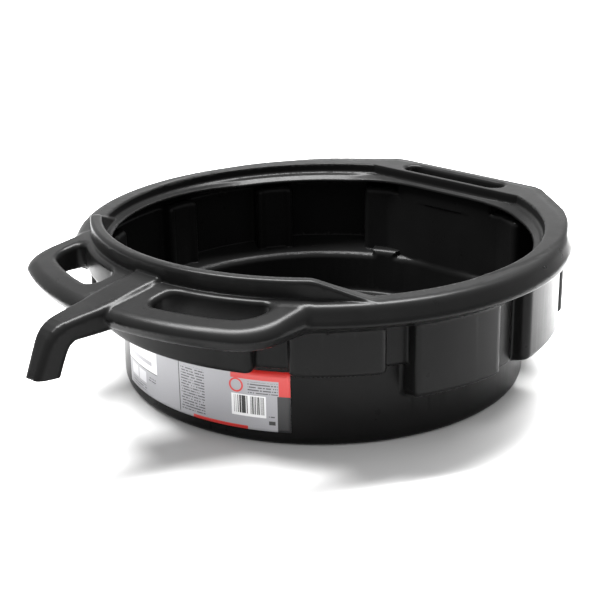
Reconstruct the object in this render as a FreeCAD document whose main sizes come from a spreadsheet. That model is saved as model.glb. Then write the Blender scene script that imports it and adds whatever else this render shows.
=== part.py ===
import FreeCAD, Part
import math
import os
import Sketcher

# Oil drain pan, millimetres. The pan stands on Z = 0 with its axis on Z, its spout points to -Y
# and its rear grip lies at +Y. Everything but the label is mirror-symmetric about X = 0.
# The moulding is one hollow skin; it is kept here as its named regions, which meet face to face.

os.makedirs("parts", exist_ok=True)
doc = FreeCAD.newDocument("oil_drain_pan")

# ---------------------------------------------------------------- driving dimensions

SIZES = {
    "skin": 3.0,
    # sump: the round lower bowl
    "sump_radius": 192.0,
    "sump_fillet": 7.0,
    # panelled wall: the wider band above the sump, stepped out over two ledges
    "front_ledge": 75.5,
    "rear_ledge": 51.0,
    "skirt_low": 44.0,
    "skirt_radius": 206.0,
    "low_start": -27.0,
    "band_top": 118.0,
    "band_radius": 204.0,
    "panel_radius": 219.0,
    "corner_radius": 229.0,
    "rear_flat": 190.0,
    # rim: the hollow flange round the mouth; it ends where the rear grip begins
    "rim_radius": 235.0,
    "rim_parting": 129.0,
    "rim_side": 2.5,
    "rim_top": 142.5,
    "rim_shoulder": 226.0,
    "rim_root": 222.0,
    "rim_bore": 208.0,
    "rim_chord": 186.0,
    "rim_end": 51.3,
    # lip: the inward edge that keeps oil from slopping out
    "lip_radius": 198.5,
    "lip_chord": 182.0,
    "lip_under": 128.5,
    # splash guard behind the spout and the two front handles
    "guard_bore": 205.0,
    "guard_radius": 216.0,
    "guard_top": 159.0,
    "guard_bevel": 3.0,
    "guard_half": 40.5,
    "guard_ramp": 14.5,
    # front handles
    "handle_radius": 278.0,
    "handle_side": 148.0,
    "handle_under": 116.5,
    "handle_corner": 22.0,
    "handle_edge": 7.0,
    "slot_inner": 223.0,
    "slot_outer": 252.0,
    "slot_near": 26.0,
    "slot_far": 127.0,
    "slot_corner": 12.0,
    # rear grip
    "grip_back": 230.0,
    "grip_corner": 90.0,
    "grip_round": 14.0,
    "grip_edge": 6.0,
    "grip_slot_middle": 205.0,
    "grip_slot_length": 122.0,
    "grip_slot_width": 22.0,
    # spout
    "spout_half": 17.5,
    "spout_tip_half": 9.5,
    "spout_top": 146.5,
    "spout_bend": 315.0,
    "spout_bend_top": 133.0,
    "spout_reach": 341.0,
    "spout_tip": 89.5,
    "spout_tip_depth": 23.0,
    "spout_under": 115.0,
    "spout_root": 205.0,
    "spout_knee": 6.0,
    "spout_floor_start": 240.0,
    "spout_side_skin": 3.4,
    # label, wrapped round the sump
    "label_thick": 0.4,
    "label_low": 13.0,
    "label_tall": 56.0,
    "label_start": -115.0,
    "label_span": 59.4,
    # where the round regions part, as angles from +X on the right-hand side
    "wall_cut_front": -59.0,
    "wall_cut_side": -30.0,
    "wall_cut_rear": 32.0,
}

sheet = doc.addObject("Spreadsheet::Sheet", "Pan")
for row, (alias, value) in enumerate(SIZES.items(), start=1):
    sheet.set(f"A{row}", alias)
    sheet.set(f"B{row}", str(value))
    sheet.setAlias(f"B{row}", alias)
doc.recompute()

REACH = 400.0       # longer than anything on the pan
FRONT = -150.0      # the handles and their slots lie wholly in front of this Y
INWARD = 30.0       # how far a cutting solid runs past the face that it opens
EPSILON = 0.01      # two heights or lengths closer than this are the same


# ---------------------------------------------------------------- building blocks

def value(expression):
    return float(sheet.evalExpression(expression))


def bind(thing, bindings):
    for path, expression in bindings.items():
        thing.setExpression(path, expression)
    return thing


def cylinder(name, radius, low, high, start="0", span="360"):
    """A disc, or a sector of one, between two heights; angles are in degrees from +X."""
    thing = doc.addObject("Part::Cylinder", name)
    return bind(thing, {
        "Radius": radius,
        "Height": f"({high}) - ({low})",
        "Angle": span,
        "Placement.Base.z": low,
        "Placement.Rotation.Angle": start,
    })


def box(name, x_range, y_range, z_range):
    thing = doc.addObject("Part::Box", name)
    bindings = {}
    sides = (("Length", "x", x_range), ("Width", "y", y_range), ("Height", "z", z_range))
    for side, axis, (low, high) in sides:
        bindings[side] = f"({high}) - ({low})"
        bindings[f"Placement.Base.{axis}"] = low
    return bind(thing, bindings)


def cut(name, base, tool):
    thing = doc.addObject("Part::Cut", name)
    thing.Base = base
    thing.Tool = tool
    return thing


def common(name, base, tool):
    thing = doc.addObject("Part::Common", name)
    thing.Base = base
    thing.Tool = tool
    return thing


def fuse(name, shapes):
    thing = doc.addObject("Part::MultiFuse", name)
    thing.Shapes = shapes
    return thing


def mirrored(name, source):
    """The same solid on the other side of X = 0."""
    thing = doc.addObject("Part::Mirroring", name)
    thing.Source = source
    thing.Normal = FreeCAD.Vector(1, 0, 0)
    return thing


def flat_disc(name, radius, chord, low, high):
    """A disc with its +Y side cut straight at Y = chord."""
    whole = cylinder(name + "_whole", radius, low, high)
    behind = box(name + "_behind", (f"-{REACH}", f"{REACH}"), (chord, f"{REACH}"), (low, high))
    return cut(name, whole, behind)


def outline(body, plane, corners):
    """A closed sketch of straight lines, each corner held by expressions over the sheet."""
    sketch = body.newObject("Sketcher::SketchObject", body.Name + "_outline")
    planes = {feature.Role: feature for feature in body.Origin.OriginFeatures}
    sketch.AttachmentSupport = [(planes[plane], "")]
    sketch.MapMode = "FlatFace"
    points = [FreeCAD.Vector(value(x), value(y), 0) for x, y in corners]
    count = len(points)
    for index in range(count):
        following = points[(index + 1) % count]
        sketch.addGeometry(Part.LineSegment(points[index], following), False)
    for index in range(count):
        sketch.addConstraint(Sketcher.Constraint("Coincident", index, 2, (index + 1) % count, 1))
    for index, (x, y) in enumerate(corners):
        for kind, expression in (("DistanceX", x), ("DistanceY", y)):
            held = Sketcher.Constraint(kind, -1, 1, index, 1, value(expression))
            number = sketch.addConstraint(held)
            sketch.setExpression(f"Constraints[{number}]", expression)
    return sketch


def turned(name, corners):
    """A solid of revolution about Z, from (radius, height) corners."""
    body = doc.addObject("PartDesign::Body", name)
    sketch = outline(body, "XZ_Plane", corners)
    turn = body.newObject("PartDesign::Revolution", name + "_turn")
    turn.Profile = sketch
    turn.ReferenceAxis = (sketch, ["V_Axis"])
    turn.Angle = 360
    return body


def padded(name, plane, corners, length, shift):
    """A sketch padded by a length; the body is then shifted along the sketch's normal."""
    body = doc.addObject("PartDesign::Body", name)
    sketch = outline(body, plane, corners)
    pad = body.newObject("PartDesign::Pad", name + "_pad")
    pad.Profile = sketch
    pad.setExpression("Length", length)
    axis = {"XY_Plane": "z", "YZ_Plane": "x"}[plane]
    body.setExpression(f"Placement.Base.{axis}", shift)
    return body


def edges_where(shape, test):
    return [number for number, edge in enumerate(shape.Edges, start=1) if test(edge)]


def filleted(name, base, radius, test):
    doc.recompute()
    thing = doc.addObject("Part::Fillet", name)
    thing.Base = base
    numbers = edges_where(base.Shape, test)
    thing.Edges = [(number, radius, radius) for number in numbers]
    return thing


def region(name, ring, start, end):
    """The stretch of a ring between two angles, as a piece of its own."""
    sector = cylinder(name + "_sector", f"{REACH}", "0", "Pan.guard_top",
                      start=start, span=f"({end}) - ({start})")
    return common(name, ring, sector)


def front_region(name, ring, end):
    """The stretch of a ring across the front, from an angle on the left to the same on the right."""
    return region(name, ring, f"-180 - ({end})", end)


def side_regions(name, ring, start, end):
    """A stretch of a ring on the right, and its mirror image on the left."""
    right = region(name + "_right", ring, start, end)
    return [right, mirrored(name + "_left", right)]


def is_upright(edge):
    start, end = edge.Vertexes[0].Point, edge.Vertexes[-1].Point
    return math.hypot(end.x - start.x, end.y - start.y) < EPSILON < abs(end.z - start.z)


def is_level(edge, height):
    extent = edge.BoundBox
    return abs(extent.ZMin - height) < EPSILON and abs(extent.ZMax - height) < EPSILON


def middle_of(edge):
    return edge.valueAt((edge.FirstParameter + edge.LastParameter) / 2)


# ---------------------------------------------------------------- sump bowl

def sump():
    """The floor, and the round lower wall, which stands taller under the front ledge."""
    inside = "Pan.sump_radius - Pan.skin"
    body = turned("sump_turned", [
        ("0", "0"),
        ("Pan.sump_radius", "0"),
        ("Pan.sump_radius", "Pan.skirt_low"),
        (inside, "Pan.skirt_low"),
        (inside, "Pan.skin"),
        ("0", "Pan.skin"),
    ])
    doc.recompute()
    turn = body.Tip

    def at_floor(edge):
        return is_level(edge, 0) or is_level(edge, value("Pan.skin"))

    fillet = body.newObject("PartDesign::Fillet", "sump_fillet")
    fillet.Base = (turn, [f"Edge{number}" for number in edges_where(turn.Shape, at_floor)])
    fillet.setExpression("Radius", "Pan.sump_fillet")
    floor_slab = cylinder("sump_floor_slab", f"{REACH}", "0", "Pan.skin")
    floor = common("sump_floor", body, floor_slab)
    wall = cut("sump_wall", body, floor_slab)
    ledges = ("Pan.skirt_low", "Pan.front_ledge")
    tall = cut("sump_tall", cylinder("sump_tall_disc", "Pan.sump_radius", *ledges),
               cylinder("sump_tall_bore", inside, *ledges))
    low_front = front_region("sump_low_front", wall, "Pan.low_start")
    tall_front = front_region("sump_tall_front", tall, "Pan.low_start")
    sides = side_regions("sump", wall, "Pan.low_start", "90")
    return [floor, fuse("sump_front", [low_front, tall_front])] + sides


# ---------------------------------------------------------------- panelled wall

PANELS = (
    # start and end angle from +X, outer radius, ledge that the panel stands on
    ("middle", -117.0, -63.0, "Pan.panel_radius", "Pan.front_ledge"),
    ("front", -55.0, -33.0, "Pan.panel_radius", "Pan.front_ledge"),
    ("side", -27.0, -3.3, "Pan.panel_radius", "Pan.rear_ledge"),
    ("flank", 6.2, 27.5, "Pan.panel_radius + 3", "Pan.rear_ledge"),
    ("corner", 37.0, 57.0, "Pan.corner_radius", "Pan.rear_ledge"),
)


def band(name, inset, rise):
    """The band with its panels, drawn in by an inset; outer form at inset 0, hollow at the skin."""
    low_turn = f"({inset}) / Pan.band_radius * 180 / pi"
    top = "Pan.band_top"
    shapes = [
        flat_disc(name + "_high", f"Pan.band_radius - ({inset})", f"Pan.rear_flat - ({inset})",
                  f"Pan.front_ledge + ({rise})", top),
    ]
    low_disc = flat_disc(name + "_low_disc", f"Pan.band_radius - ({inset})",
                         f"Pan.rear_flat - ({inset})", f"Pan.rear_ledge + ({rise})", top)
    low_sector = cylinder(name + "_low_sector", f"{REACH}", f"Pan.rear_ledge + ({rise})", top,
                          start=f"Pan.low_start + {low_turn}",
                          span=f"180 - 2 * Pan.low_start - 2 * ({low_turn})")
    shapes.append(common(name + "_low", low_disc, low_sector))
    for label, start, end, radius, ledge in PANELS:
        drawn = (f"{start} + ({inset}) / Pan.panel_radius * 180 / pi",
                 f"{end - start} - 2 * ({inset}) / Pan.panel_radius * 180 / pi")
        panel = cylinder(f"{name}_{label}", f"{radius} - ({inset})", f"{ledge} + ({rise})", top,
                         start=drawn[0], span=drawn[1])
        shapes.append(panel)
        if label != "middle":
            shapes.append(mirrored(f"{name}_{label}_mirror", panel))
    return fuse(name, shapes)


def skirt(name, inset, rise):
    """The slope from the sump's wall out to the lower ledge, round all but the front."""
    cone = doc.addObject("Part::Cone", name + "_cone")
    bind(cone, {
        "Radius1": f"Pan.sump_radius - {inset}",
        "Radius2": f"Pan.skirt_radius - {inset}",
        "Height": "Pan.rear_ledge - Pan.skirt_low",
        "Placement.Base.z": f"Pan.skirt_low + {rise}",
    })
    behind = box(name + "_behind", (f"-{REACH}", f"{REACH}"),
                 (f"Pan.rear_flat - {inset}", f"{REACH}"), ("0", "Pan.band_top"))
    turn = f"({inset}) / Pan.band_radius * 180 / pi"
    return region(name, cut(name + "_cut", cone, behind),
                  f"Pan.low_start + {turn}", f"180 - Pan.low_start - {turn}")


def panelled_wall():
    outer = fuse("walls_outer", [band("band_outer", "0", "0"), skirt("skirt_outer", "0", "0")])
    inner = fuse("walls_inner", [band("band_inner", "Pan.skin", "Pan.skin"),
                                 skirt("skirt_inner", "Pan.skin", "Pan.skin / 2")])
    bore = cylinder("band_bore", "Pan.sump_radius - Pan.skin", "Pan.skirt_low", "Pan.band_top")
    flat = box("band_bore_behind", (f"-{REACH}", f"{REACH}"),
               ("Pan.rear_flat - Pan.skin", f"{REACH}"),
               ("Pan.skirt_low", "Pan.band_top"))
    hollow = fuse("band_hollow", [inner, cut("band_bore_flat", bore, flat)])
    whole = cut("band", outer, hollow)
    front, side, rear = "Pan.wall_cut_front", "Pan.wall_cut_side", "Pan.wall_cut_rear"
    return (
        [front_region("wall_front", whole, front)]
        + side_regions("wall_front", whole, front, side)
        + side_regions("wall", whole, side, rear)
        + side_regions("wall_rear", whole, rear, "90")
    )


# ---------------------------------------------------------------- rim, lip and splash guard

def rim_side():
    """The rim's outer side, from its underside up to its top, as (radius, height) corners."""
    return [
        ("Pan.rim_root", "Pan.band_top"),
        ("Pan.rim_radius - Pan.skin", "Pan.rim_parting - 6"),
        ("Pan.rim_radius", "Pan.rim_parting - Pan.rim_side"),
        ("Pan.rim_radius", "Pan.rim_parting + Pan.rim_side"),
        ("Pan.rim_radius - Pan.skin", "Pan.rim_top - 4"),
        ("Pan.rim_shoulder", "Pan.rim_top"),
    ]


def rim_envelope():
    """All that the rim, the guard and the wall below fill, to cut their neighbours against."""
    lower = [
        ("0", "Pan.front_ledge"),
        ("Pan.panel_radius", "Pan.front_ledge"),
        ("Pan.panel_radius", "Pan.band_top"),
    ]
    upper = [
        ("Pan.guard_radius", "Pan.rim_top"),
        ("Pan.guard_radius", "Pan.guard_top"),
        ("0", "Pan.guard_top"),
    ]
    return turned("rim_envelope", lower + rim_side() + upper)


def rim_flange(slots, throat):
    skin = "Pan.skin"
    inside = [
        ("Pan.rim_bore", "Pan.rim_top"),
        ("Pan.rim_bore", f"Pan.lip_under + {skin}"),
        (f"Pan.rim_bore + {skin}", f"Pan.lip_under + {skin}"),
        (f"Pan.rim_bore + {skin}", f"Pan.rim_top - {skin}"),
        ("Pan.rim_shoulder - 1", f"Pan.rim_top - {skin}"),
        (f"Pan.rim_radius - 1.9 * {skin}", "Pan.rim_top - 5.8"),
        (f"Pan.rim_radius - {skin}", "Pan.rim_parting + 2"),
        (f"Pan.rim_radius - {skin}", "Pan.rim_parting - 1.8"),
        (f"Pan.rim_radius - 1.6 * {skin}", "Pan.rim_parting - 3.4"),
        ("Pan.rim_root - 0.7", f"Pan.band_top + {skin}"),
        (f"Pan.band_radius - {skin}", f"Pan.band_top + {skin}"),
        (f"Pan.band_radius - {skin}", "Pan.band_top"),
    ]
    ring = turned("rim_turned", rim_side() + inside)
    whole = cut("rim", ring, fuse("rim_openings", [throat] + slots))
    front = "Pan.guard_half - 90"
    return [front_region("rim_front", whole, front)] + side_regions("rim", whole, front, "Pan.rim_end")


def drip_lip():
    heights = ("Pan.lip_under", "Pan.lip_under + Pan.skin")
    outer = flat_disc("lip_outer", "Pan.rim_bore + Pan.skin", "Pan.rim_chord + Pan.skin", *heights)
    inner = flat_disc("lip_mouth", "Pan.lip_radius", "Pan.lip_chord", *heights)
    whole = cut("lip", outer, inner)
    front = "Pan.guard_half - 90"
    return [front_region("lip_front", whole, front)] + side_regions("lip", whole, front, "90")


def guard_ramp_cutter():
    """A block whose lower face is the slope down which the guard's +X end runs."""
    middle_radius = value("(Pan.guard_bore + Pan.guard_radius) / 2")
    turn = value("Pan.guard_half + Pan.guard_ramp / 2 - 90")
    run = middle_radius * math.radians(value("Pan.guard_ramp"))
    fall = value("Pan.guard_top - Pan.rim_top")
    slope = math.degrees(math.atan2(fall, run))
    block = doc.addObject("Part::Box", "guard_ramp")
    block.Length = 2 * INWARD
    block.Width = 4 * run
    block.Height = 2 * INWARD
    centre = FreeCAD.Vector(-INWARD, -2 * run, 0)
    tilt = FreeCAD.Rotation(FreeCAD.Vector(1, 0, 0), -slope)
    spin = FreeCAD.Rotation(FreeCAD.Vector(0, 0, 1), turn)
    middle = spin.multVec(FreeCAD.Vector(middle_radius, 0, 0))
    middle.z = value("(Pan.guard_top + Pan.rim_top) / 2")
    rotation = spin.multiply(tilt)
    block.Placement = FreeCAD.Placement(middle + rotation.multVec(centre), rotation)
    return block


def splash_guard():
    ring = turned("guard_turned", [
        ("Pan.guard_bore", "Pan.lip_under + Pan.skin"),
        ("Pan.guard_bore", "Pan.guard_top - 1.5"),
        ("Pan.guard_bore + 1.5", "Pan.guard_top"),
        ("Pan.guard_radius - Pan.guard_bevel", "Pan.guard_top"),
        ("Pan.guard_radius", "Pan.guard_top - Pan.guard_bevel"),
        ("Pan.guard_radius", "Pan.rim_top"),
        ("Pan.rim_bore", "Pan.rim_top"),
        ("Pan.rim_bore", "Pan.lip_under + Pan.skin"),
    ])
    half = "(Pan.guard_half + Pan.guard_ramp)"
    sector = cylinder("guard_sector", f"{REACH}", "0", f"{REACH}",
                      start=f"-90 - {half}", span=f"2 * {half}")
    stretch = common("guard_stretch", ring, sector)
    ramp = guard_ramp_cutter()
    ramps = fuse("guard_ramps", [ramp, mirrored("guard_ramp_mirror", ramp)])
    return cut("splash_guard", stretch, ramps)


# ---------------------------------------------------------------- front handles

def handle_block(name, inset):
    """The right handle's form, drawn in by an inset, with its outer corner rounded."""
    heights = (f"Pan.handle_under + {inset}", f"Pan.rim_top - {inset}")
    disc = cylinder(name + "_disc", f"Pan.handle_radius - {inset}", *heights)
    span = box(name + "_span", (f"Pan.spout_half + {inset}", f"Pan.handle_side - {inset}"),
               (f"-{REACH}", f"{FRONT}"), heights)

    def at_outer_corner(edge):
        point = middle_of(edge)
        beside = point.x > value("Pan.handle_side - Pan.handle_corner")
        return is_upright(edge) and beside and point.y < -value("Pan.slot_inner - Pan.handle_corner")

    return filleted(name, common(name + "_form", disc, span),
                    value(f"Pan.handle_corner - {inset}"),
                    at_outer_corner)


def slot_block(name, inset):
    """The right handle's finger slot, widened by a negative inset."""
    heights = ("Pan.handle_under", "Pan.rim_top")
    outer = cylinder(name + "_outer", f"Pan.slot_outer - ({inset})", *heights)
    inner = cylinder(name + "_inner", f"Pan.slot_inner + ({inset})", *heights)
    span = box(name + "_span", (f"Pan.slot_near + ({inset})", f"Pan.slot_far - ({inset})"),
               (f"-{REACH}", f"{FRONT}"), heights)
    ring = cut(name + "_ring", outer, inner)
    return filleted(name, common(name + "_form", ring, span),
                    value(f"Pan.slot_corner - ({inset})"), is_upright)


def right_handle(envelope, slot, tube):
    """A hollow loop: deck, side and underside round a slot whose walls run right through."""
    block = handle_block("handle_block", "0")
    top, under = value("Pan.rim_top"), value("Pan.handle_under")

    def outer_edge(edge):
        level = is_level(edge, top) or is_level(edge, under)
        point = middle_of(edge)
        return level and point.x > value("Pan.spout_half + Pan.skin") and point.y < FRONT - EPSILON

    rounded = filleted("handle_rounded", block, value("Pan.handle_edge"), outer_edge)
    cavity = handle_block("handle_cavity_block", "Pan.skin")
    shell = cut("handle_shell", rounded, cut("handle_cavity", cavity, tube))
    outside = cut("handle_outside", shell, envelope)
    walled = fuse("handle_walled", [outside, tube])
    return cut("right_handle", walled, slot)


# ---------------------------------------------------------------- rear grip

def grip_outline(inset):
    """Plan of the rear grip: square corners that run out to meet the round rim, then to the axis."""
    side_x = f"(Pan.rim_radius - {inset}) * cos(Pan.rim_end)"
    side_y = f"(Pan.rim_radius - {inset}) * sin(Pan.rim_end)"
    corner = (f"Pan.grip_corner - {inset} * 0.6", f"Pan.grip_back - {inset}")
    return [
        ("0", "0"),
        (side_x, side_y),
        corner,
        (f"-({corner[0]})", corner[1]),
        (f"-{side_x}", side_y),
    ]


def grip_block(name, inset, low, high):
    body = padded(name, "XY_Plane", grip_outline(inset), f"({high}) - ({low})", low)
    return body


def stadium(name, grow):
    """The rear finger slot: a straight slot with round ends, through the full height."""
    heights = ("Pan.band_top", "Pan.rim_top")
    half = f"(Pan.grip_slot_length - Pan.grip_slot_width) / 2"
    radius = f"Pan.grip_slot_width / 2 + {grow}"
    middle = "Pan.grip_slot_middle"
    bar = box(name + "_bar", (f"-{half}", half),
              (f"{middle} - ({radius})", f"{middle} + {radius}"), heights)
    ends = []
    for side, sign in (("left", "-"), ("right", "")):
        end = cylinder(f"{name}_{side}", radius, *heights)
        bind(end, {"Placement.Base.x": f"{sign}{half}", "Placement.Base.y": middle})
        ends.append(end)
    return fuse(name, [bar] + ends)


def rear_grip():
    """A hollow squared block across the back of the rim, with a finger slot through it."""
    block = grip_block("grip_block", "0", "Pan.band_top", "Pan.rim_top")
    back = value("Pan.grip_back")
    corner = filleted("grip_cornered", block, value("Pan.grip_round"),
                      lambda edge: is_upright(edge) and edge.Vertexes[0].Y > back - 1)
    top, low = value("Pan.rim_top"), value("Pan.band_top")

    def outer_edge(edge):
        point = middle_of(edge)
        outward = math.hypot(point.x, point.y) > value("Pan.rim_root")
        return outward and (is_level(edge, top) or is_level(edge, low))

    rounded = filleted("grip_rounded", corner, value("Pan.grip_edge"), outer_edge)
    floor = "Pan.band_top + Pan.skin"
    cavity = grip_block("grip_cavity_block", "Pan.skin", floor, "Pan.rim_top - Pan.skin")
    inner_wall = flat_disc("grip_inner_wall", "Pan.rim_bore + Pan.skin", "Pan.rim_chord + Pan.skin",
                           floor, "Pan.rim_top - Pan.skin")
    tube = stadium("grip_tube", "Pan.skin")
    hollow = cut("grip_hollow", cavity, fuse("grip_kept", [inner_wall, tube]))
    openings = fuse("grip_openings", [
        hollow,
        stadium("grip_slot", "0"),
        flat_disc("grip_mouth", "Pan.rim_bore", "Pan.rim_chord", floor, "Pan.rim_top"),
        flat_disc("grip_pour_gap", "Pan.rim_bore + Pan.skin", "Pan.rim_chord + Pan.skin",
                  floor, "Pan.lip_under + Pan.skin"),
        flat_disc("grip_wall_bore", "Pan.band_radius - Pan.skin", "Pan.rear_flat - Pan.skin",
                  "Pan.band_top", floor),
    ])
    form = region("grip_form", rounded, "Pan.rim_end", "180 - Pan.rim_end")
    return cut("rear_grip", form, openings)


# ---------------------------------------------------------------- spout

def spout_taper(name, inset):
    """Plan of the spout: parallel between the handles, then narrowing to its tip."""
    half, tip = f"Pan.spout_half - {inset}", f"Pan.spout_tip_half - {inset}"
    start, past = "-Pan.sump_radius", "-(Pan.spout_reach + Pan.spout_knee)"
    return padded(name, "XY_Plane", [
        (f"-({half})", start),
        (f"-({half})", "-Pan.handle_radius"),
        (f"-({tip})", past),
        (tip, past),
        (half, "-Pan.handle_radius"),
        (half, start),
    ], "Pan.guard_top", "0")


def spout_outer():
    side = padded("spout_side", "YZ_Plane", [
        ("-Pan.spout_root", "Pan.spout_top"),
        ("-Pan.guard_radius", "Pan.spout_top"),
        ("-Pan.spout_bend", "Pan.spout_bend_top"),
        ("-(Pan.spout_bend + Pan.spout_knee)", "Pan.spout_bend_top - Pan.spout_knee + 1"),
        ("-Pan.spout_reach", "Pan.spout_tip"),
        ("-(Pan.spout_reach - Pan.spout_tip_depth)", "Pan.spout_tip"),
        ("-(Pan.spout_bend - Pan.spout_knee)", "Pan.spout_under - Pan.spout_knee + 1"),
        ("-(Pan.spout_bend - 2 * Pan.spout_knee)", "Pan.spout_under"),
        ("-Pan.spout_root", "Pan.spout_under"),
    ], "2 * Pan.spout_half", "-Pan.spout_half")
    return common("spout_form", side, spout_taper("spout_plan", "0"))


def spout_bore():
    """The passage from the rim's hollow to the open tip."""
    side_skin = "Pan.spout_side_skin"
    front = f"-(Pan.spout_reach - {side_skin})"
    back = f"-(Pan.spout_reach - Pan.spout_tip_depth + {side_skin})"
    below = "Pan.spout_tip - Pan.spout_knee"
    root = "-(Pan.rim_root - Pan.skin)"
    side = padded("spout_bore_side", "YZ_Plane", [
        (root, "Pan.rim_top - Pan.skin"),
        ("-Pan.spout_floor_start", "Pan.rim_top - Pan.skin"),
        ("-(Pan.spout_bend - Pan.skin / 2)", "Pan.spout_bend_top - Pan.skin"),
        (f"-(Pan.spout_bend + {side_skin})", "Pan.spout_bend_top - Pan.spout_knee - 0.5"),
        (front, "Pan.spout_tip"),
        (front, below),
        (back, below),
        (back, "Pan.spout_tip"),
        ("-(Pan.spout_bend - Pan.skin)", "Pan.spout_under - Pan.skin"),
        ("-(Pan.spout_bend - 2 * Pan.spout_knee)", "Pan.spout_under + Pan.skin"),
        ("-Pan.spout_floor_start", "Pan.band_top + Pan.skin"),
        (root, "Pan.band_top + Pan.skin"),
    ], "2 * Pan.spout_half", "-Pan.spout_half")
    return common("spout_bore", side, spout_taper("spout_bore_plan", "Pan.skin"))


# ---------------------------------------------------------------- label

def label():
    heights = ("Pan.label_low", "Pan.label_low + Pan.label_tall")
    sheet_disc = cylinder("label_disc", "Pan.sump_radius + Pan.label_thick", *heights,
                          start="Pan.label_start", span="Pan.label_span")
    return cut("label", sheet_disc, cylinder("label_back", "Pan.sump_radius", *heights))


# ---------------------------------------------------------------- the pan

envelope = rim_envelope()
slot = slot_block("slot", "0")
tube = slot_block("slot_tube", "-Pan.skin")
bore = spout_bore()
right = right_handle(envelope, slot, tube)
NODES = sump() + panelled_wall() + rim_flange([tube, mirrored("slot_tube_mirror", tube)], bore)
NODES += drip_lip() + [
    splash_guard(),
    right,
    mirrored("left_handle", right),
    rear_grip(),
    cut("spout", cut("spout_outside", spout_outer(), envelope), bore),
    label(),
]
doc.recompute()

for thing in doc.Objects:
    if "Invalid" in thing.State or "Error" in thing.State:
        raise RuntimeError(f"{thing.Label} failed: {thing.State}")

for node in NODES:
    shape = node.Shape
    if shape.isNull() or not shape.isValid() or not shape.Solids:
        raise RuntimeError(f"{node.Label} has no valid solid")
    shape.exportStep(f"parts/{node.Label}.step")
    extent = shape.BoundBox
    print(f"{node.Label}: {len(shape.Solids)} solid, {shape.Volume / 1000:.1f} cm3, "
          f"X {extent.XMin:.1f}..{extent.XMax:.1f} Y {extent.YMin:.1f}..{extent.YMax:.1f} "
          f"Z {extent.ZMin:.1f}..{extent.ZMax:.1f}")
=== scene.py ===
"""Oil drain pan: a hollow blow-moulded black pan with a printed label, on a pale studio floor.

The moulding is one skin. It is described by a signed distance field of the closed outer form,
hollowed by the skin's thickness and opened at the mouth and the spout's tip, then meshed.
Lengths are millimetres until a mesh is made, and metres in the studio. Y points from the spout to
the rear grip, Z is up, and the moulding is mirror-symmetric about X = 0. Turns are degrees from +X,
so the spout is at -90. An EASE is the width of a rounded edge.
"""

import math

import bpy
import numpy as np
import openvdb
from mathutils import Matrix, Vector


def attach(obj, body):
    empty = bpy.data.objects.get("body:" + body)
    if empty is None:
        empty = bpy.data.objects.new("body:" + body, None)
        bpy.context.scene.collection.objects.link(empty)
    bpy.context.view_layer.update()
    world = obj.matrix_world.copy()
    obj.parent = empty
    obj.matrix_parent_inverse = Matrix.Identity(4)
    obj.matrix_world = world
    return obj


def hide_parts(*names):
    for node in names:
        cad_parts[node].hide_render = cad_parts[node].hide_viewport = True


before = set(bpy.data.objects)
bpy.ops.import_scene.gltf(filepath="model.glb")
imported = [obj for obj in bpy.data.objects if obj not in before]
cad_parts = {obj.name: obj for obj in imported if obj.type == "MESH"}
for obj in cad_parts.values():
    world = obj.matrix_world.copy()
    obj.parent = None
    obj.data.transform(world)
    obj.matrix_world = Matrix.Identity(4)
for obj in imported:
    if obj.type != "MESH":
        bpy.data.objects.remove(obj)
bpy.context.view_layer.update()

MM = 0.001
SKIN = 3.0

# ---------------------------------------------------------------- dimensions, mm and degrees

SUMP_RADIUS = 192.0
SUMP_EASE = (8.0, 7.0)                      # beside the rear wall, and round the foot
BAND_RADIUS = 204.0
BAND_TOP = 120.0
BAND_EASE = 3.0
REAR_FLAT = 190.0
REAR_HALF = 60.0                            # half width of the straight rear wall
REAR_STEP = (65.0, 50.0)                    # turn and height of the raised ledge beside it
STEP_EASE = 3.0
FRONT_LEDGE = 75.5
LEDGE_EASE = 4.0
LEDGE_OVERLAP = 1.5                         # degrees that the front ledge runs on over the lower one
FOOT = ((192.0, 44.0), (219.0, 51.0))       # the slope under the lower ledge, (radius, height)
LOW_START = -27.0                           # turn at which the front ledge drops to the lower one
PANELS = (
    # from turn, to turn, radius at either end, whether it stands on the front ledge
    (-90.0, -63.0, 219.0, 219.0, True),
    (-55.0, -33.2, 219.0, 219.0, True),
    (-32.0, -2.7, 219.0, 219.0, False),
    (-2.7, 6.2, 207.5, 207.5, False),
    (6.2, 28.5, 221.5, 225.0, False),
    (28.5, 37.5, 209.0, 209.0, False),
    (37.5, 61.4, 229.0, 229.0, False),
)
PANEL_EASE = 7.0
PANEL_ROOT = 4.0                            # rounding where a panel meets the band
BAND_JOIN = 2.0
SUMP_JOIN = 3.5
WALL_JOIN = 3.0
RIM_RADIUS = 235.0
RIM_TOP = 142.4
RIM_PARTING = 129.0
RIM_BEAD = 3.5                              # height of the upright face below the parting line
RIM_KNEE = (-11.0, 119.0)                   # a point on the underside's slope
RIM_UNDER = 115.5
RIM_SHOULDER = 227.0
SHOULDER_EASE = 5.0
PARTING_EASE = 1.5
KNEE_EASE = 4.0
RIM_BORE = 208.0
RIM_CHORD = 186.0
LIP_RADIUS = 198.4
LIP_CHORD = 182.5
LIP_TOP = 133.2
LIP_FOOT = 110.0                            # the mouth is open from here up
LIP_EASE = 14.0                             # rounding where the lip turns along the rear
LIP_RUN_ON = 1.3                            # its slope goes on to this multiple of its width
LIP_EDGE = ((0, 68, 79, 90, 104, 180), (127.5, 127.5, 130.2, 131.8, 133.0, 133.2))
WELL_EASE = 2.0
LIP_CORNER = 1.0
MOUTH_EDGE = 0.8
GRIP_BACK = 230.3
GRIP_TURN = 50.7                            # turn of the normal to the grip's slanted sides
GRIP_CORNER = 6.0
GRIP_TAPER = 0.45                           # mm per degree that its deck narrows ahead of that turn
GRIP_PROUD = 1.5                            # how far its sides stand out past the rim
GRIP_LIFT = 2.5                             # its underside's height above the rim's
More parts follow.
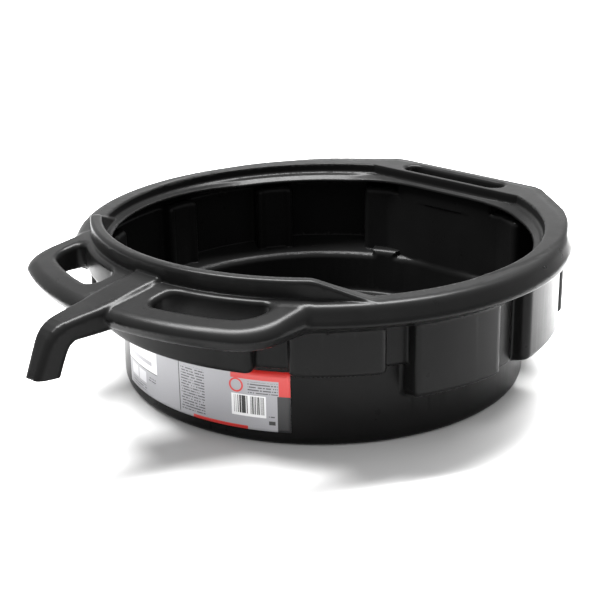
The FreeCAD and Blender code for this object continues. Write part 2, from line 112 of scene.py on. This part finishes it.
GRIP_EDGES = (3.5, 4.0)                     # rounding above and below
GRIP_JOIN = 2.0
GRIP_SLOT = (51.0, 205.0, 11.0)             # half length between centres, Y, radius
SLOT_EDGE = 4.0
GUARD = (205.0, 216.0, 159.0)               # inner radius, outer radius, crest
GUARD_FOOT = 128.0
GUARD_FLARE = 9.0                           # how far the outer side leans out where the crest falls
GUARD_EASE = (3.0, 3.5, 1.5)                # at the sides, along the crest, where the crest turns down
GUARD_FALL = 0.95                           # cosine of the falling crest's slope
GUARD_JOIN = 1.5
GUARD_RAMP = (-49.5, -36.7)                 # turns where the crest ends and where it reaches the rim
GUARD_RUN_ON = 0.5                          # share of the ramp that its slope goes on for at either end
HANDLE_RADIUS = 278.0
HANDLE_SIDE = 151.0
HANDLE_UNDER = 116.5
HANDLE_CORNER = 22.0
HANDLE_DRAFT = ((0.24, 0.972), (0.545, 0.878))    # the sides' lean above and below the parting: tan, cos
HANDLE_PARTING = 1.0                        # how far the handles' parting lies below the rim's
HANDLE_EASE = (0.6, 8.0, 6.0)               # along the parting, the top and the underside
HANDLE_ROOT = (200.0, -90.0)                # the handles lie outside this radius and in front of this Y
HANDLE_JOIN = 2.5
HANDLE_FALL = (225.0, 0.142)                # the handles' tops fall outward from this radius
SPOUT_GAP = 14.0                            # the handles end at this X, in the spout's sides
SPOUT_GAP_EDGE = 1.0
HANDLE_SLOT = (223.0, 251.5, 35.0, 123.5, 12.0)   # radii, X from and to, corner radius
HANDLE_SLOT_EDGE = 5.5
SPOUT_SIDE = (
    # (Y, Z) round the spout's side outline, from the root along the top to the tip and back
    (-205, 146.6), (-216, 146.5), (-228, 145.4), (-240, 143.6), (-252, 141.4), (-264, 139.2),
    (-278, 137.2), (-293, 135.8), (-303, 134.6), (-311.5, 133.4), (-317.5, 131.2),
    (-322.5, 128.0), (-326.6, 123.6), (-330.2, 117.4), (-334.0, 109.2), (-338.8, 98.6),
    (-343.0, 89.6), (-345.5, 84.0), (-318, 84.0), (-317.6, 90.0), (-314, 99.0),
    (-310.5, 107.0), (-307.5, 112.0), (-303, 115.0), (-290, 115.2), (-266, 115.2),
    (-205, 115.0),
)
SPOUT_HALF = ((-345, -341, -315, -278, -262, -200), (9.2, 9.4, 12.4, 16.4, 17.5, 17.5))
SPOUT_EASE = 6.0
SPOUT_JOIN = 2.0
SPOUT_NEAR = (40.0, -190.0)                 # the spout lies within this X and in front of this Y
SPOUT_TIP = (-329.5, 90.2, -5.0)            # a point on the cut and the cut's tilt in degrees
TIP_BACK = -312.0                           # the cut ends at this Y
TIP_EDGE = 0.5
SKIN_EDGE = 0.3
CLOSING_DEPTH = 5.0                         # how far the rear wall's upper strip runs below the rim

# the moulding's mesh
SPACE = ((0.0, -347.0, -3.0), (238.0, 234.0, 162.0))    # holds its half with X above 0
VOXEL = 1.25
ADAPTIVITY = 0.1                            # how readily flat places are meshed coarser
TRIANGLES = 190000                          # what the finished mesh is thinned to


# ---------------------------------------------------------------- distance field

def corner(a, b, k):
    """Where both hold, with the edge rounded to radius k."""
    return (np.minimum(np.maximum(a, b), -k)
            + np.hypot(np.maximum(a + k, 0), np.maximum(b + k, 0)))


def merge(a, b, k):
    """Where either holds, with the inner corner rounded to radius k."""
    return -corner(-a, -b, k)


def softened(a, b, k):
    """Where both hold, eased over a width k; for two sides that meet at a shallow angle."""
    return np.maximum(a, b) + np.maximum(k - np.abs(a - b), 0) ** 2 / (4 * k)


def beyond(x, y, turn):
    """How far a point lies past the upright plane through the axis at a turn."""
    t = math.radians(turn)
    return -x * math.sin(t) + y * math.cos(t)


def slope(across_at, up_at, start, end):
    """Distance to the left of a line from start to end, both (across, up)."""
    across, up = end[0] - start[0], end[1] - start[1]
    length = math.hypot(across, up)
    return ((up_at - start[1]) * across - (across_at - start[0]) * up) / length


def outline_distance(points, u, v):
    """Signed distance to a closed outline, negative inside."""
    corners = np.asarray(points, np.float32)
    nearest = np.full(u.shape, np.inf, np.float32)            # squared
    inside = np.zeros(u.shape, bool)
    for (u0, v0), (u1, v1) in zip(corners, np.roll(corners, -1, axis=0)):
        du, dv = u1 - u0, v1 - v0
        along = np.clip(((u - u0) * du + (v - v0) * dv) / (du * du + dv * dv), 0, 1)
        gap = (u - u0 - along * du) ** 2 + (v - v0 - along * dv) ** 2
        nearest = np.minimum(nearest, gap)
        if dv != 0:
            crosses = (v0 > v) != (v1 > v)
            inside ^= crosses & (u < u0 + (v - v0) * du / dv)
    return np.where(inside, -1, 1) * np.sqrt(nearest)


def walls(x, y, z, r):
    """The sump and the panelled band round it."""
    behind = y - REAR_FLAT
    sump = corner(corner(r - SUMP_RADIUS, behind, SUMP_EASE[0]), -z, SUMP_EASE[1])
    high = low = corner(r - BAND_RADIUS, behind, BAND_EASE)
    for start, end, radius, far_radius, in_front in PANELS:
        if far_radius != radius:
            share = np.clip((np.degrees(np.arctan2(y, x)) - start) / (end - start), 0, 1)
            radius = radius + (far_radius - radius) * share
        sides = beyond(x, y, end)
        if start > -90:
            sides = np.maximum(sides, -beyond(x, y, start))
        panel = corner(r - radius, sides, PANEL_EASE)
        if in_front:
            high = merge(high, panel, PANEL_ROOT)
        else:
            low = merge(low, panel, PANEL_ROOT)
    past_low_start = beyond(x, y, LOW_START + LEDGE_OVERLAP)
    high = np.maximum(corner(high, FRONT_LEDGE - z, LEDGE_EASE), past_low_start)
    foot = np.maximum(-slope(r, z, *FOOT), FOOT[0][1] - z)
    low = corner(corner(low, foot, LEDGE_EASE), -beyond(x, y, LOW_START), LEDGE_EASE)
    turn, height = REAR_STEP
    step = np.maximum(np.maximum(z - height, REAR_HALF - x), -beyond(x, y, turn))
    low = corner(low, -step, STEP_EASE)
    band = merge(high, low, BAND_JOIN)
    return np.maximum(merge(sump, band, SUMP_JOIN), z - BAND_TOP)


def rim(q, z):
    """The rim's section: q is the distance outward from the parting line."""
    top = z - RIM_TOP
    face = slope(q, z, (0, RIM_PARTING), (RIM_SHOULDER - RIM_RADIUS, RIM_TOP))
    under = slope(q, z, RIM_KNEE, (0, RIM_PARTING - RIM_BEAD))
    upper = softened(softened(top, -face, SHOULDER_EASE), q, PARTING_EASE)
    lower = corner(-under, RIM_UNDER - z, KNEE_EASE)
    return corner(upper, lower, PARTING_EASE)


def flange(x, y, z, r):
    """The rim with its rear grip and front handles, before it is opened."""
    t = math.radians(GRIP_TURN)
    slanted = x * math.cos(t) + y * math.sin(t)
    q = np.where(beyond(x, y, GRIP_TURN) > 0, slanted, r) - RIM_RADIUS
    body = rim(softened(q, y - GRIP_BACK, GRIP_CORNER), z)
    ahead = np.maximum(GRIP_TURN - np.degrees(np.arctan2(y, x)), 0)
    grip = softened(q - GRIP_PROUD + GRIP_TAPER * ahead, y - GRIP_BACK, GRIP_CORNER)
    grip = corner(grip, z - RIM_TOP, GRIP_EDGES[0])
    grip = corner(grip, RIM_UNDER + GRIP_LIFT - z, GRIP_EDGES[1])
    body = merge(body, grip, GRIP_JOIN)
    plan = softened(r - HANDLE_RADIUS, x - HANDLE_SIDE, HANDLE_CORNER)
    (lean_in, cos_in), (lean_under, cos_under) = HANDLE_DRAFT
    above = z - RIM_PARTING + HANDLE_PARTING
    upper = (plan + above * lean_in) * cos_in
    lower = (plan - above * lean_under) * cos_under
    parting_ease, top_ease, under_ease = HANDLE_EASE
    edge = corner(upper, lower, parting_ease)
    fall_from, fall = HANDLE_FALL
    top = z - RIM_TOP + fall * np.maximum(r - fall_from, 0)
    plate = corner(corner(edge, top, top_ease), HANDLE_UNDER - z, under_ease)
    plate = corner(plate, SPOUT_GAP - x, SPOUT_GAP_EDGE)
    plate = np.maximum(plate, np.maximum(HANDLE_ROOT[0] - r, y - HANDLE_ROOT[1]))
    return merge(body, plate, HANDLE_JOIN)


def guard(z, r, turn):
    """The splash guard that stands on the rim behind the spout."""
    inner, outer, crest = GUARD
    ramp_start, ramp_end = GUARD_RAMP
    share = (turn - ramp_start) / (ramp_end - ramp_start)
    share = np.clip(share, -GUARD_RUN_ON, 1 + GUARD_RUN_ON)
    side_ease, crest_ease, turn_ease = GUARD_EASE
    falling = (z - crest + (crest - RIM_TOP) * share) * GUARD_FALL
    top = softened(z - crest, falling, turn_ease)
    flare = GUARD_FLARE * np.clip(share, 0, 1) ** 2
    sides = corner(r - outer - flare, inner - r, side_ease)
    return np.maximum(corner(sides, top, crest_ease), GUARD_FOOT - z)


def handle_slot(x, y, r):
    """A finger slot between two arcs, through the full height."""
    inner, outer, near, far, round_off = HANDLE_SLOT
    slot = corner(np.maximum(r - outer, inner - r), np.maximum(x - far, near - x), round_off)
    return np.maximum(slot, y - HANDLE_ROOT[1])


def spout(x, y, z):
    """The beak's outer form: its side outline, as wide as the table says at each Y."""
    side = outline_distance(SPOUT_SIDE, y, z)
    half = np.interp(y, *SPOUT_HALF).astype(np.float32)
    return corner(side, x - half, SPOUT_EASE)


def pan(points):
    """Distance to the moulding's skin for an array of points."""
    x = np.abs(points[:, 0])
    y, z = points[:, 1], points[:, 2]
    r = np.hypot(x, y)
    turn = np.degrees(np.arctan2(y, x))
    form = flange(x, y, z, r)
    # the mouth's recess, down to the lip that slopes in from it
    well = np.maximum(r - RIM_BORE, y - RIM_CHORD)
    edge = np.interp(90 - turn, *LIP_EDGE).astype(np.float32)
    eased = softened(r - RIM_BORE, y - RIM_CHORD, LIP_EASE)
    slant = np.clip(-eased / (RIM_BORE - LIP_RADIUS), 0, LIP_RUN_ON)
    lip = LIP_TOP + (edge - LIP_TOP) * slant
    form = corner(form, -corner(well, lip - z, LIP_CORNER), WELL_EASE)
    form = merge(form, guard(z, r, turn), GUARD_JOIN)
    form = corner(form, -handle_slot(x, y, r), HANDLE_SLOT_EDGE)
    half, middle, radius = GRIP_SLOT
    grip_slot = np.hypot(np.maximum(x - half, 0), y - middle) - radius
    form = corner(form, -grip_slot, SLOT_EDGE)
    form = merge(form, walls(x, y, z, r), WALL_JOIN)
    near = (y < SPOUT_NEAR[1]) & (x < SPOUT_NEAR[0])
    if near.any():
        pipe = spout(x[near], y[near], z[near])
        form[near] = merge(form[near], pipe, SPOUT_JOIN)
    skin = corner(form, -form - SKIN, SKIN_EDGE)
    # the straight rear wall's upper strip, which closes the skin between the wall and the lip
    strip = np.maximum(np.maximum(x - REAR_HALF, y - REAR_FLAT), REAR_FLAT - SKIN - y)
    strip = np.maximum(strip, np.maximum(z - LIP_TOP, RIM_UNDER - CLOSING_DEPTH - z))
    skin = np.minimum(skin, strip)
    mouth = softened(r - LIP_RADIUS, y - LIP_CHORD, LIP_EASE)
    skin = corner(skin, -np.maximum(mouth, LIP_FOOT - z), MOUTH_EDGE)
    tip_y, tip_z, tilt = SPOUT_TIP
    t = math.radians(tilt)
    below = (z - tip_z) * math.cos(t) - (y - tip_y) * math.sin(t)
    tip = np.maximum(below, y - TIP_BACK)
    return corner(skin, -tip, TIP_EDGE)


# ---------------------------------------------------------------- meshing

def gradient(field, points, step=0.08):
    """The field's slope along each axis."""
    slopes = np.empty_like(points)
    for axis in range(3):
        offset = np.zeros(3, np.float32)
        offset[axis] = step
        slopes[:, axis] = field(points + offset) - field(points - offset)
    return slopes / (2 * step)


def in_batches(work, points, size=400000):
    """The work's result for all points, done in parts that fit the memory."""
    return np.concatenate([work(points[i:i + size]) for i in range(0, len(points), size)])


def sampled(field, low, high, voxel, side=8):
    """The field on a grid, worked out only in the small blocks that the surface crosses."""
    low, high = np.array(low, np.float32), np.array(high, np.float32)
    blocks = np.ceil((high - low) / (voxel * side)).astype(int)
    grid = np.full(blocks * side, 3 * voxel, np.float32)
    index = np.stack(np.meshgrid(*[np.arange(n) for n in blocks], indexing="ij"), -1)
    index = index.reshape(-1, 3)
    middles = (low + (index + 0.5) * side * voxel).astype(np.float32)
    half_diagonal = math.sqrt(3) / 2 * side * voxel
    reach = 1.25 * half_diagonal + 1        # the field is not an exact distance everywhere
    index = index[np.abs(in_batches(field, middles)) < reach]
    inner = np.stack(np.meshgrid(*[np.arange(side)] * 3, indexing="ij"), -1).reshape(-1, 3)
    batch = 800
    for start in range(0, len(index), batch):
        cells = index[start:start + batch, None, :] * side + inner[None]
        cells = cells.reshape(-1, 3)
        values = field((low + cells * voxel).astype(np.float32))
        grid[cells[:, 0], cells[:, 1], cells[:, 2]] = np.clip(values, -3 * voxel, 3 * voxel)
    return grid


def skin_mesh(name, field, low, high, voxel, adaptivity):
    """The field's zero surface as a mesh, with its points drawn onto the exact surface."""
    grid = sampled(field, low, high, voxel)
    # the half with X above 0 is mirrored, sharing the plane of samples at X = 0
    whole = np.concatenate([grid[:0:-1], grid], axis=0)
    volume = openvdb.FloatGrid(3 * voxel)
    volume.copyFromArray(whole)
    points, triangles, quads = volume.convertToPolygons(0.0, adaptivity)
    origin = np.array([-(grid.shape[0] - 1) * voxel, low[1], low[2]], np.float32)
    points = (points.astype(np.float32) * voxel + origin).astype(np.float32)
    least_steepness, longest_step = 0.2, 0.5 * voxel
    for _ in range(3):
        value = in_batches(field, points)
        slopes = in_batches(lambda p: gradient(field, p), points)
        steepness = np.maximum((slopes ** 2).sum(1), least_steepness)
        step = np.clip(value / steepness, -longest_step, longest_step)
        points = points - slopes * step[:, None]
    faces = [tuple(f) for f in triangles] + [tuple(f) for f in quads]
    mesh = bpy.data.meshes.new(name)
    mesh.from_pydata(points * MM, [], faces)
    return mesh


def shade(mesh, field, crease=38):
    """Smooth shading from the field itself, with the faces' own normals kept at true edges."""
    mesh.shade_smooth()
    count = len(mesh.vertices)
    points = np.empty(count * 3, np.float32)
    mesh.vertices.foreach_get("co", points)
    points = points.reshape(-1, 3) / np.float32(MM)
    slopes = in_batches(lambda p: gradient(field, p), points)
    slopes /= np.maximum(np.linalg.norm(slopes, axis=1, keepdims=True), 1e-6)
    corners = np.empty(len(mesh.loops), np.int32)
    mesh.loops.foreach_get("vertex_index", corners)
    totals = np.empty(len(mesh.polygons), np.int32)
    mesh.polygons.foreach_get("loop_total", totals)
    flat = np.empty(len(mesh.polygons) * 3, np.float32)
    mesh.polygons.foreach_get("normal", flat)
    flat = np.repeat(flat.reshape(-1, 3), totals, axis=0)
    soft = slopes[corners]
    sharp = (soft * flat).sum(1) < math.cos(math.radians(crease))
    soft[sharp] = flat[sharp]
    mesh.normals_split_custom_set(soft)


def placed(name, mesh):
    """A new object with this mesh, linked into the scene."""
    thing = bpy.data.objects.new(name, mesh)
    bpy.context.scene.collection.objects.link(thing)
    return thing


def thinned(mesh, share):
    """The mesh with only that share of its triangles, the flattest ones joined first."""
    thing = placed(mesh.name, mesh)
    modifier = thing.modifiers.new("thin", "DECIMATE")
    modifier.ratio = share
    result = bpy.data.meshes.new_from_object(
        thing.evaluated_get(bpy.context.evaluated_depsgraph_get()))
    bpy.data.objects.remove(thing)
    return result


# ---------------------------------------------------------------- materials

def material(name):
    """A new material with its nodes, its links and its shader."""
    made = bpy.data.materials.new(name)
    made.use_nodes = True
    nodes = made.node_tree.nodes
    return made, nodes, made.node_tree.links, nodes["Principled BSDF"]


def noise(nodes, links, source, scale, detail=3.0, rough=0.55):
    """A noise texture's value at the source's coordinates."""
    node = nodes.new("ShaderNodeTexNoise")
    node.inputs["Scale"].default_value = scale
    node.inputs["Detail"].default_value = detail
    node.inputs["Roughness"].default_value = rough
    links.new(source, node.inputs["Vector"])
    return node.outputs["Fac"]


def ramp(nodes, links, source, stops):
    """The source's value turned into a colour; a stop is (place, (r, g, b)) or (place, (grey,))."""
    node = nodes.new("ShaderNodeValToRGB")
    elements = node.color_ramp.elements
    while len(elements) < len(stops):
        elements.new(0.5)
    for element, (place, colour) in zip(elements, stops):
        element.position = place
        element.color = (*colour, 1.0) if len(colour) == 3 else (*([colour[0]] * 3), 1.0)
    links.new(source, node.inputs["Fac"])
    return node.outputs["Color"]


def black_plastic():
    """Satin black polyethylene: a fine moulded grain and a slightly uneven sheen."""
    made, nodes, links, shader = material("black_plastic")
    place = nodes.new("ShaderNodeTexCoord").outputs["Object"]
    broad = noise(nodes, links, place, 14.0)
    links.new(ramp(nodes, links, broad, [(0.3, (0.0040,)), (0.7, (0.0055,))]),
              shader.inputs["Base Color"])
    links.new(ramp(nodes, links, noise(nodes, links, place, 60.0, 4.0),
                   [(0.3, (0.27,)), (0.7, (0.33,))]), shader.inputs["Roughness"])
    shader.inputs["Specular IOR Level"].default_value = 0.06
    bump = nodes.new("ShaderNodeBump")
    bump.inputs["Strength"].default_value = 0.10
    bump.inputs["Distance"].default_value = 0.0004
    links.new(noise(nodes, links, place, 900.0, 2.0), bump.inputs["Height"])
    links.new(bump.outputs["Normal"], shader.inputs["Normal"])
    return made


def printed(name, colours, scale=40.0, rough=0.32):
    """A printed area of the label: two near shades that drift into each other."""
    made, nodes, links, shader = material(name)
    place = nodes.new("ShaderNodeTexCoord").outputs["UV"]
    links.new(ramp(nodes, links, noise(nodes, links, place, scale), [(0.3, colours[0]),
                                                                   (0.7, colours[1])]),
              shader.inputs["Base Color"])
    shader.inputs["Roughness"].default_value = rough
    return made


def maths(nodes, links, operation, a, b=None):
    """A Math node; a and b are numbers or sockets."""
    node = nodes.new("ShaderNodeMath")
    node.operation = operation
    for socket, given in zip(node.inputs, (a, b)):
        if isinstance(given, (int, float)):
            socket.default_value = given
        elif given is not None:
            links.new(given, socket)
    return node.outputs["Value"]


def ruled(name, ground, ink, pitch, height, letter, gap_at):
    """Rows of short unreadable dashes that stand for small print. UV is in millimetres.

    A row repeats every pitch and its ink fills the share height of it. A cell is letter wide,
    and the share gap_at of the cells is blank.
    """
    made, nodes, links, shader = material(name)
    parts = nodes.new("ShaderNodeSeparateXYZ")
    links.new(nodes.new("ShaderNodeTexCoord").outputs["UV"], parts.inputs["Vector"])
    u, v = parts.outputs["X"], parts.outputs["Y"]
    row = maths(nodes, links, "MULTIPLY", v, 1 / pitch)
    in_row = maths(nodes, links, "LESS_THAN", maths(nodes, links, "FRACT", row), height)
    cell = nodes.new("ShaderNodeCombineXYZ")
    links.new(maths(nodes, links, "FLOOR", maths(nodes, links, "MULTIPLY", u, 1 / letter)),
              cell.inputs["X"])
    links.new(maths(nodes, links, "FLOOR", row), cell.inputs["Y"])
    random = nodes.new("ShaderNodeTexWhiteNoise")
    random.noise_dimensions = "2D"
    links.new(cell.outputs["Vector"], random.inputs["Vector"])
    dash = maths(nodes, links, "GREATER_THAN", random.outputs["Value"], gap_at)
    mark = maths(nodes, links, "MULTIPLY", in_row, dash)
    links.new(ramp(nodes, links, mark, [(0.0, ground), (1.0, ink)]), shader.inputs["Base Color"])
    shader.inputs["Roughness"].default_value = 0.32
    return made


# ---------------------------------------------------------------- label

LABEL_TURNS = (-115.0, -55.6)
LABEL_HEIGHTS = (13.0, 69.0)
LABEL_RADII = (192.08, 192.45)              # the film's back and its printed face
LABEL_CURVE = 192.3                         # radius along which lengths on the label are measured
LABEL_STRIPS = 60                           # equal strips that carry the film's curve
MM_PER_TURN = math.radians(LABEL_CURVE)     # length of one degree along the film

# areas of the print, later ones over earlier ones: turns, heights, ink
PRINT = (
    (*LABEL_TURNS, *LABEL_HEIGHTS, "label_grey"),
    (-115.0, -97.5, 38.0, 69.0, "label_white"),
    (-112.5, -100.0, 44.0, 48.0, "label_grey"),
    (-115.0, -97.5, 37.4, 38.2, "label_mark"),
    (-113.0, -108.5, 24.0, 35.0, "label_pale"),
    (-107.8, -103.5, 24.0, 35.0, "label_pale"),
    (-102.0, -98.4, 27.0, 33.5, "label_print"),
    (-112.5, -103.5, 16.0, 21.5, "label_print"),
    (-88.3, -88.0, 15.0, 62.0, "label_mark"),
    (-87.4, -79.5, 17.0, 60.0, "label_print"),
    (-66.8, -58.8, 47.0, 57.5, "label_print"),
    (-71.4, -62.0, 25.0, 45.0, "label_white"),
    (-70.9, -62.5, 27.5, 44.0, "label_bars"),
    (-61.3, -59.6, 19.0, 22.5, "label_mark"),
    (-61.3, -59.6, 24.5, 28.0, "label_print"),
    (-83.5, -67.0, 13.0, 16.0, "label_red"),
    (-71.5, -55.6, 59.5, 69.0, "label_red"),
    (-58.6, -55.6, 46.0, 69.0, "label_red"),
    (-59.0, -55.6, 13.0, 46.0, "label_black"),
)
RING = (-70.0, 53.0, 5.0, 6.6)              # turn, height, inner and outer radius
RING_LIFT = 192.52                          # radius of the surface that the ring is printed on
RING_SIDES = 48


def label_materials():
    """The label's inks by name; the first also colours the film's back and edges."""
    grey = ((0.25, 0.25, 0.265), (0.30, 0.30, 0.315))
    return {
        "label_grey": printed("label_grey", grey, 6.0),
        "label_white": printed("label_white", ((0.62, 0.62, 0.63), (0.70, 0.70, 0.70))),
        "label_pale": printed("label_pale", ((0.48, 0.48, 0.50), (0.56, 0.56, 0.58))),
        "label_mark": printed("label_mark", ((0.012, 0.012, 0.013), (0.03, 0.03, 0.03))),
        "label_red": printed("label_red", ((0.42, 0.015, 0.012), (0.52, 0.025, 0.02))),
        "label_black": printed("label_black", ((0.008, 0.008, 0.009), (0.016, 0.016, 0.017))),
        "label_print": ruled("label_print", (0.275, 0.275, 0.29), (0.05, 0.05, 0.055),
                             2.6, 0.42, 0.9, 0.22),
        "label_bars": ruled("label_bars", (0.66, 0.66, 0.66), (0.012, 0.012, 0.012),
                            60.0, 1.1, 0.42, 0.48),
    }


def label_point(radius, turn, height):
    """The point at a turn and height on a cylinder about the pan's axis."""
    t = math.radians(turn)
    return (radius * math.cos(t), radius * math.sin(t), height)


def label_uv(turn, height):
    """Where a point lies on the flat label, in millimetres."""
    return ((turn - LABEL_TURNS[0]) * MM_PER_TURN, height)


def label_sheet(inks):
    """The film as a thin closed sheet wrapped round the sump, one face area to each print area."""
    turns = {edge for area in PRINT for edge in area[:2]}
    first, last = LABEL_TURNS
    turns |= {first + i * (last - first) / LABEL_STRIPS for i in range(LABEL_STRIPS + 1)}
    heights = sorted({edge for area in PRINT for edge in area[2:4]})
    turns = sorted(turns)
    turns = [t for i, t in enumerate(turns) if i == 0 or t - turns[i - 1] > 1e-6]
    points, faces, kinds, charts = [], [], [], []
    names = list(inks)
    for radius in LABEL_RADII:
        points += [label_point(radius, t, h) for h in heights for t in turns]
    across, layer = len(turns), len(turns) * len(heights)

    def at(i, j, side):
        return side * layer + j * across + i

    def add(face, kind, chart):
        faces.append(face)
        kinds.append(kind)
        charts.append(chart)

    for j in range(len(heights) - 1):
        for i in range(across - 1):
            middle_turn = (turns[i] + turns[i + 1]) / 2
            middle_height = (heights[j] + heights[j + 1]) / 2
            kind = 0
            for start, end, low, high, ink in PRINT:
                if start < middle_turn < end and low < middle_height < high:
                    kind = names.index(ink)
            chart = [label_uv(turns[i + a], heights[j + b]) for a, b in
                     ((0, 0), (1, 0), (1, 1), (0, 1))]
            add((at(i, j, 1), at(i + 1, j, 1), at(i + 1, j + 1, 1), at(i, j + 1, 1)), kind, chart)
            add((at(i, j, 0), at(i, j + 1, 0), at(i + 1, j + 1, 0), at(i + 1, j, 0)), 0, chart)
    last_i, last_j = across - 1, len(heights) - 1
    blank = [(0.0, 0.0)] * 4
    for i in range(across - 1):
        add((at(i, 0, 0), at(i + 1, 0, 0), at(i + 1, 0, 1), at(i, 0, 1)), 0, blank)
        add((at(i + 1, last_j, 0), at(i, last_j, 0), at(i, last_j, 1), at(i + 1, last_j, 1)),
            0, blank)
    for j in range(last_j):
        add((at(0, j + 1, 0), at(0, j, 0), at(0, j, 1), at(0, j + 1, 1)), 0, blank)
        add((at(last_i, j, 0), at(last_i, j + 1, 0), at(last_i, j + 1, 1), at(last_i, j, 1)),
            0, blank)
    mesh = bpy.data.meshes.new("label_film")
    mesh.from_pydata([tuple(c * MM for c in p) for p in points], [], faces)
    for name in names:
        mesh.materials.append(inks[name])
    mesh.polygons.foreach_set("material_index", kinds)
    chart = mesh.uv_layers.new(name="print")
    chart.data.foreach_set("uv", [c for face in charts for uv in face for c in uv])
    mesh.update()
    return mesh


def label_ring(ink):
    """A plain printed ring, raised by less than a hair."""
    turn, height, inner, outer = RING
    points = []

    def spot(across, up):
        return label_point(RING_LIFT, turn + across / MM_PER_TURN, height + up)

    for radius in (inner, outer):
        for i in range(RING_SIDES):
            a = 2 * math.pi * i / RING_SIDES
            points.append(spot(radius * math.cos(a), radius * math.sin(a)))
    faces = []
    for i in range(RING_SIDES):
        after = (i + 1) % RING_SIDES
        faces.append((i, i + RING_SIDES, after + RING_SIDES, after))
    mesh = bpy.data.meshes.new("label_sign")
    mesh.from_pydata([tuple(c * MM for c in p) for p in points], [], faces)
    mesh.materials.append(ink)
    chart = mesh.uv_layers.new(name="print")
    chart.data.foreach_set("uv", [0.0] * (2 * len(mesh.loops)))
    return mesh


# ---------------------------------------------------------------- the object

mesh = skin_mesh("pan_moulding", pan, *SPACE, VOXEL, ADAPTIVITY)
mesh = thinned(mesh, TRIANGLES / sum(len(face.vertices) - 2 for face in mesh.polygons))
shade(mesh, pan)
mesh.materials.append(black_plastic())
moulding = placed("pan_moulding", mesh)
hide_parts(*[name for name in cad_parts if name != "label"])
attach(moulding, "root")

inks = label_materials()
film = placed("label_film", label_sheet(inks))
sign = placed("label_sign", label_ring(inks["label_red"]))
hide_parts("label")
for piece in (film, sign):
    piece.data.shade_smooth()
    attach(piece, "root")


# ---------------------------------------------------------------- studio

def floor_and_backdrop():
    """A pale floor that curves up into a backdrop far behind the pan."""
    wide, near, far, bend, tall, bend_steps = 6.0, 5.0, 5.0, 2.0, 5.0, 24
    line = [(-near, 0.0), (0.0, 0.0)]
    line += [(far + bend * math.sin(a), bend - bend * math.cos(a))
             for a in (math.pi / 2 * i / bend_steps for i in range(bend_steps + 1))]
    line.append((far + bend, tall))
    points = [(x, y, z) for y, z in line for x in (-wide, wide)]
    faces = [(2 * i, 2 * i + 1, 2 * i + 3, 2 * i + 2) for i in range(len(line) - 1)]
    mesh = bpy.data.meshes.new("studio_floor")
    mesh.from_pydata(points, [], faces)
    mesh.shade_smooth()
    made, nodes, links, shader = material("studio_paper")
    place = nodes.new("ShaderNodeTexCoord").outputs["Object"]
    links.new(ramp(nodes, links, noise(nodes, links, place, 3.0),
                   [(0.3, (0.60,)), (0.7, (0.62,))]), shader.inputs["Base Color"])
    shader.inputs["Roughness"].default_value = 0.9
    shader.inputs["Specular IOR Level"].default_value = 0.1
    mesh.materials.append(made)
    return placed("studio_floor", mesh)


VIEW_LENS = 81.85                           # mm on a sensor 36 mm wide
VIEW_TURN = math.radians(43.67)
VIEW_RISE = math.radians(20.52)
VIEW_ROLL = math.radians(1.0)
VIEW_DISTANCE = 1.3162
VIEW_HEIGHT = 0.070                         # of the point that it turns about, on the pan's axis
VIEW_ASIDE = (0.02151, 0.00739)             # how far it is moved left and down to frame the pan

spin = Matrix.Rotation(VIEW_TURN, 3, "Z")


def from_view(x, y, z):
    """A direction or place given as right, away and up in the view's own turn."""
    return spin @ Vector((x, y, z))


def camera():
    """The photograph's viewing angle."""
    made = bpy.data.cameras.new("view")
    made.lens = VIEW_LENS
    made.sensor_width = 36.0
    made.clip_end = 50.0
    right = Vector((1, 0, 0))
    up = Vector((0, math.sin(VIEW_RISE), math.cos(VIEW_RISE)))
    back = Vector((0, -math.cos(VIEW_RISE), math.sin(VIEW_RISE)))
    c, s = math.cos(VIEW_ROLL), math.sin(VIEW_ROLL)
    right, up = c * right - s * up, s * right + c * up
    place = Vector((0, 0, VIEW_HEIGHT)) + VIEW_DISTANCE * back
    place = place - VIEW_ASIDE[0] * right - VIEW_ASIDE[1] * up
    axes = Matrix((spin @ right, spin @ up, spin @ back)).transposed()
    thing = bpy.data.objects.new("view", made)
    bpy.context.scene.collection.objects.link(thing)
    thing.matrix_world = Matrix.Translation(spin @ place) @ axes.to_4x4()
    bpy.context.scene.camera = thing


def lamp(name, place, target, size, power, height=None, spread=180):
    """A rectangular area lamp; place and target are given in the view's turn, spread in degrees."""
    made = bpy.data.lights.new(name, "AREA")
    made.shape = "RECTANGLE"
    made.size = size
    made.size_y = height or size
    made.energy = power
    made.spread = math.radians(spread)
    thing = bpy.data.objects.new(name, made)
    bpy.context.scene.collection.objects.link(thing)
    thing.location = from_view(*place)
    thing.rotation_euler = (from_view(*target) - thing.location).to_track_quat(
        "-Z", "Y").to_euler()


backdrop = floor_and_backdrop()
backdrop.rotation_euler = (0, 0, VIEW_TURN)
camera()
lamp("overhead", (-0.2, 0.3, 1.7), (-0.1, 0.0, 0.1), 1.8, 260.0, 0.5)
lamp("floor_right", (0.85, 0.45, 1.0), (0.85, 0.45, 0.0), 0.6, 60.0, spread=80)
lamp("backdrop_wash", (0.0, 2.5, 2.6), (0.0, 5.0, 0.6), 3.0, 300.0, 1.0)

world = bpy.data.worlds.new("studio")
world.use_nodes = True
world.node_tree.nodes["Background"].inputs["Color"].default_value = (1.0, 1.0, 1.0, 1.0)
world.node_tree.nodes["Background"].inputs["Strength"].default_value = 1.0
bpy.context.scene.world = world
bpy.context.scene.view_settings.view_transform = "Standard"
